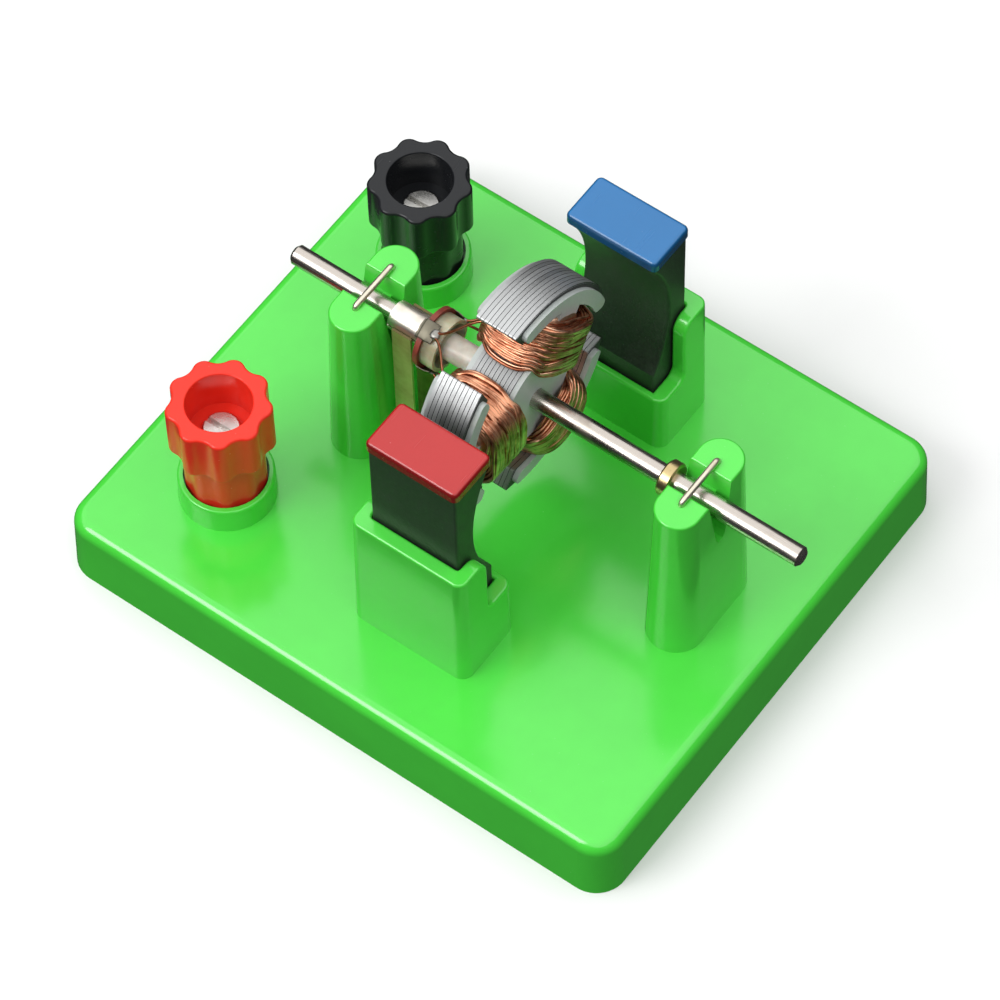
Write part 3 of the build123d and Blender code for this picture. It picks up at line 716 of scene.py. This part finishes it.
class MotorStage(PropertyGroup):
    azimuth: plain_property("Azimuth", "Camera's direction round the motor, in degrees", 37.604)
    elevation: plain_property("Elevation", "Camera's height above the horizon, in degrees", 57.67)
    roll: plain_property("Roll", "Camera's tilt in its own plane, in degrees", -1.678)
    aim: place_property("Aim", "The point that the camera looks at",
                        (-0.906 * MM, -1.413 * MM, 10.0 * MM))
    distance: length_property("Distance", "Camera to the point it looks at", 795.7 * MM)
    lens: plain_property("Lens", "Focal length on a 36 mm wide frame, in millimetres", 192.17)
    key: plain_property("Key light", "Power of the large light overhead, in watts", 26.0)
    fill: plain_property("Fill light", "Power of the light at the left, in watts", 1.0)
    right: plain_property("Right light", "Power of the light at the right, in watts", 1.8)
    front: plain_property("Front light", "Power of the light that glints on edges, in watts", 4.7)
    sky: plain_property("Surround", "Strength of the pale surround", 0.05)


# ------------------------------------------------------------------ operators
class MOTOR_OT_stage(Operator):
    """Lay the pale floor, hang the soft lights and set the camera at the photograph's angle"""

    bl_idname = "motor.stage"
    bl_label = "Set the stage"

    def execute(self, context):
        stage = context.scene.motor_stage
        self.floor(context)
        self.surround(context, stage)
        self.light(context, "key", (-0.1, 0.12, 0.98), (-0.1, 0.12, 0.0), 2.4, stage.key)
        for name, place, size, power, glints in (
            ("side", (-0.6, -0.25, 0.35), 0.5, stage.fill, False),
            ("right", (0.8, -0.25, 0.5), 0.6, stage.right, False),
            ("front", (-0.33, -0.65, 0.71), 0.5, stage.front, True),
        ):
            self.light(context, name, place, (0, 0, 0.03), size, power).visible_glossy = glints
        self.camera(context, stage)
        context.scene.view_settings.view_transform = "Standard"
        return {"FINISHED"}

    @staticmethod
    def floor(context):
        """The pale floor; it is kept out of the bounce light, so that sides stay deep green."""
        mesh = bpy.data.meshes.new("floor")
        reach = 1.5
        edge = [(x * reach, y * reach, 0) for x, y in ((-1, -1), (1, -1), (1, 1), (-1, 1))]
        mesh.from_pydata(edge, [], [(0, 1, 2, 3)])
        ground = bpy.data.objects.new("floor", mesh)
        context.scene.collection.objects.link(ground)
        ground.visible_diffuse = False
        ground.visible_glossy = False
        f = Finish("pale_floor")
        tooth = f.noise(60.0, 2.0, 0.5)
        tone = f.mix(tooth, (0.8, 0.8, 0.8, 1.0), (0.83, 0.83, 0.83, 1.0))
        mesh.materials.append(f.surface(Base_Color=tone, Roughness=0.9, Specular_IOR_Level=0.1))

    @staticmethod
    def surround(context, stage):
        """A faint pale light from all sides."""
        world = context.scene.world or bpy.data.worlds.new("surround")
        context.scene.world = world
        world.use_nodes = True
        back = world.node_tree.nodes.get("Background")
        back.inputs["Color"].default_value = (0.96, 0.98, 1.0, 1.0)
        back.inputs["Strength"].default_value = stage.sky

    @staticmethod
    def camera(context, stage):
        """The camera, turned about the motor by azimuth and elevation and rolled in its plane."""
        a, e, r = (math.radians(v) for v in (stage.azimuth, stage.elevation, stage.roll))
        back = Vector((math.sin(a) * math.cos(e), -math.cos(a) * math.cos(e), math.sin(e)))
        level = (-back).cross(Vector((0, 0, 1))).normalized()
        upright = level.cross(-back)
        right = level * math.cos(r) + upright * math.sin(r)
        up = upright * math.cos(r) - level * math.sin(r)
        lens = bpy.data.cameras.new("camera")
        lens.lens = stage.lens
        lens.sensor_width = 36.0
        lens.clip_start = 0.01
        camera = bpy.data.objects.new("camera", lens)
        context.scene.collection.objects.link(camera)
        turned = Matrix((right, up, back)).transposed().to_4x4()
        place = Vector(stage.aim) + back * stage.distance
        camera.matrix_world = Matrix.Translation(place) @ turned
        context.scene.camera = camera

    @staticmethod
    def light(context, name, place, aim, size, power):
        """A square soft light at place, turned towards aim."""
        lamp = bpy.data.lights.new(name, "AREA")
        lamp.size = size
        lamp.energy = power
        hung = bpy.data.objects.new(name, lamp)
        context.scene.collection.objects.link(hung)
        hung.location = place
        hung.rotation_euler = (Vector(place) - Vector(aim)).to_track_quat("Z", "Y").to_euler()
        return hung


class MOTOR_OT_base(Operator):
    """Give the base, the posts and the magnet holders their moulded green finish"""

    bl_idname = "motor.base"
    bl_label = "Finish the base moulding"

    def execute(self, context):
        colours = context.scene.motor_colours
        green = moulded_plastic("green_moulding", colours.green, 1.0, 0.13, 0.85)
        for node in ("base_plate", "left_bearing_post", "right_bearing_post",
                     "red_magnet_holder", "blue_magnet_holder"):
            dress(node, green)
        return {"FINISHED"}


class MOTOR_OT_terminals(Operator):
    """Finish the knobs, studs, washers and nuts of the two terminals"""

    bl_idname = "motor.terminals"
    bl_label = "Finish the terminals"

    def execute(self, context):
        colours = context.scene.motor_colours
        plated = plated_metal("plated_fittings", (0.66, 0.65, 0.62), 0.26)
        dress("terminal_nuts", plated)
        for side, colour, gloss, shine in (
            ("red", colours.red, 0.18, 0.35),
            ("black", colours.black, 0.2, 0.3),
        ):
            finish = moulded_plastic(f"{side}_knob_plastic", colour, 1.0, gloss, shine)
            dress(f"{side}_terminal_knob", finish)
            dress(f"{side}_terminal_stud", plated)
            dress(f"{side}_clamp_washer", plated)
        return {"FINISHED"}


class MOTOR_OT_magnets(Operator):
    """Finish the ferrite magnets and their red and blue caps"""

    bl_idname = "motor.magnets"
    bl_label = "Finish the magnets"

    def execute(self, context):
        colours = context.scene.motor_colours
        block = ferrite("sintered_ferrite", colours.magnet)
        dress("red_magnet", block)
        dress("blue_magnet", block)
        for side, colour in (("red", colours.red_cap), ("blue", colours.blue_cap)):
            # the last share, 0.8, paints shade on the caps' sides
            finish = moulded_plastic(f"{side}_cap_plastic", colour, 2.0, 0.2, 0.6, 0.8)
            dress(f"{side}_magnet_cap", finish)
        return {"FINISHED"}


class MOTOR_OT_shaft(Operator):
    """Finish the shaft, its brass collar and the wire staples over it"""

    bl_idname = "motor.shaft"
    bl_label = "Finish the shaft"

    def execute(self, context):
        colours = context.scene.motor_colours
        dress("shaft", drawn_steel("ground_shaft", colours.steel, "X", 0.24))
        dress("shaft_staples", drawn_steel("staple_wire", colours.staple, "Y", 0.34))
        dress("thrust_collar", plated_metal("turned_brass", (0.56, 0.44, 0.22), 0.28))
        return {"FINISHED"}


class MOTOR_OT_commutator(Operator):
    """Finish the commutator and the brushes, and fold tabs with solder beads over the disc"""

    bl_idname = "motor.commutator"
    bl_label = "Finish the commutator"

    def execute(self, context):
        dress("commutator_segments", plated_metal("commutator_copper", (0.86, 0.79, 0.69), 0.34))
        dress("commutator_disc", fibre_board("red_fibre", (0.2, 0.035, 0.022)))
        for node, name, colour, tint in (
            ("commutator_sleeve", "sleeve_plastic", (0.05, 0.04, 0.03), (0.1, 0.08, 0.05)),
            ("commutator_collar", "khaki_collar", (0.36, 0.33, 0.2), (0.52, 0.48, 0.34)),
            ("spacer_sleeve", "beige_sleeve", (0.5, 0.44, 0.36), (0.66, 0.6, 0.52)),
        ):
            dress(node, waxy_plastic(name, colour, tint))
        strip = spring_strip("bronze_strip", (0.6, 0.5, 0.22))
        dress("red_brush", strip)
        dress("black_brush", strip)
        tinned = plated_metal("tinned_copper", (0.2, 0.185, 0.14), 0.48)
        joint = solder("solder")
        w = context.scene.motor_winding
        centre = (disc_low.x + w.tab_reach - 0.1 * MM, w.tab_radius)
        radii = (0.8 * MM, 0.38 * MM, 0.8 * MM)
        for number, angle in enumerate(POLES, start=1):
            riser(f"commutator_tab_{number}", angle + TO_GAP, w, tinned)
            bead(f"solder_bead_{number}", centre, radii, angle + TO_GAP, joint)
        return {"FINISHED"}


class MOTOR_OT_core(Operator):
    """Finish the punched laminations and the pale end plates of the rotor"""

    bl_idname = "motor.core"
    bl_label = "Finish the rotor core"

    def execute(self, context):
        colours = context.scene.motor_colours
        dress("core_laminations", punched_laminations("punched_steel", colours.sheet))
        board = pressed_board("insulating_board", colours.board)
        dress("left_end_plate", board)
        dress("right_end_plate", board)
        return {"FINISHED"}


class MOTOR_OT_coils(Operator):
    """Wind the three copper coils turn by turn and run their leads to the disc"""

    bl_idname = "motor.coils"
    bl_label = "Wind the coils"

    def execute(self, context):
        copper = enamelled_copper("enamelled_wire", context.scene.motor_colours.copper)
        for number, angle in enumerate(POLES, start=1):
            wind_coil(number, angle, context.scene.motor_winding, copper)
        return {"FINISHED"}


class MOTOR_PT_panel(Panel):
    """Sizes, colours and steps of the demonstration motor"""

    bl_idname = "MOTOR_PT_panel"
    bl_label = "Demonstration motor"
    bl_space_type = "VIEW_3D"
    bl_region_type = "UI"
    bl_category = "Motor"

    def draw(self, context):
        layout = self.layout
        for step in STEPS:
            layout.operator(step.bl_idname)
        for name in GROUPS:
            group = getattr(context.scene, name)
            box = layout.box()
            for setting in group.__annotations__:
                box.prop(group, setting)


STEPS = (MOTOR_OT_stage, MOTOR_OT_base, MOTOR_OT_terminals, MOTOR_OT_magnets, MOTOR_OT_shaft,
         MOTOR_OT_commutator, MOTOR_OT_core, MOTOR_OT_coils)
GROUPS = {"motor_winding": MotorWinding, "motor_colours": MotorColours, "motor_stage": MotorStage}


def register():
    """Register the settings, the steps and the panel."""
    for name, group in GROUPS.items():
        bpy.utils.register_class(group)
        setattr(bpy.types.Scene, name, PointerProperty(type=group))
    for step in STEPS:
        bpy.utils.register_class(step)
    bpy.utils.register_class(MOTOR_PT_panel)


def unregister():
    """Take back all that register() adds."""
    bpy.utils.unregister_class(MOTOR_PT_panel)
    for step in reversed(STEPS):
        bpy.utils.unregister_class(step)
    for name, group in GROUPS.items():
        delattr(bpy.types.Scene, name)
        bpy.utils.unregister_class(group)


def main():
    """Dress the motor step by step."""
    register()
    for step in STEPS:
        done = getattr(bpy.ops.motor, step.bl_idname.split(".")[1])()
        if done != {"FINISHED"}:
            raise RuntimeError(f"{step.bl_label} did not finish")


if __name__ == "__main__":
    main()
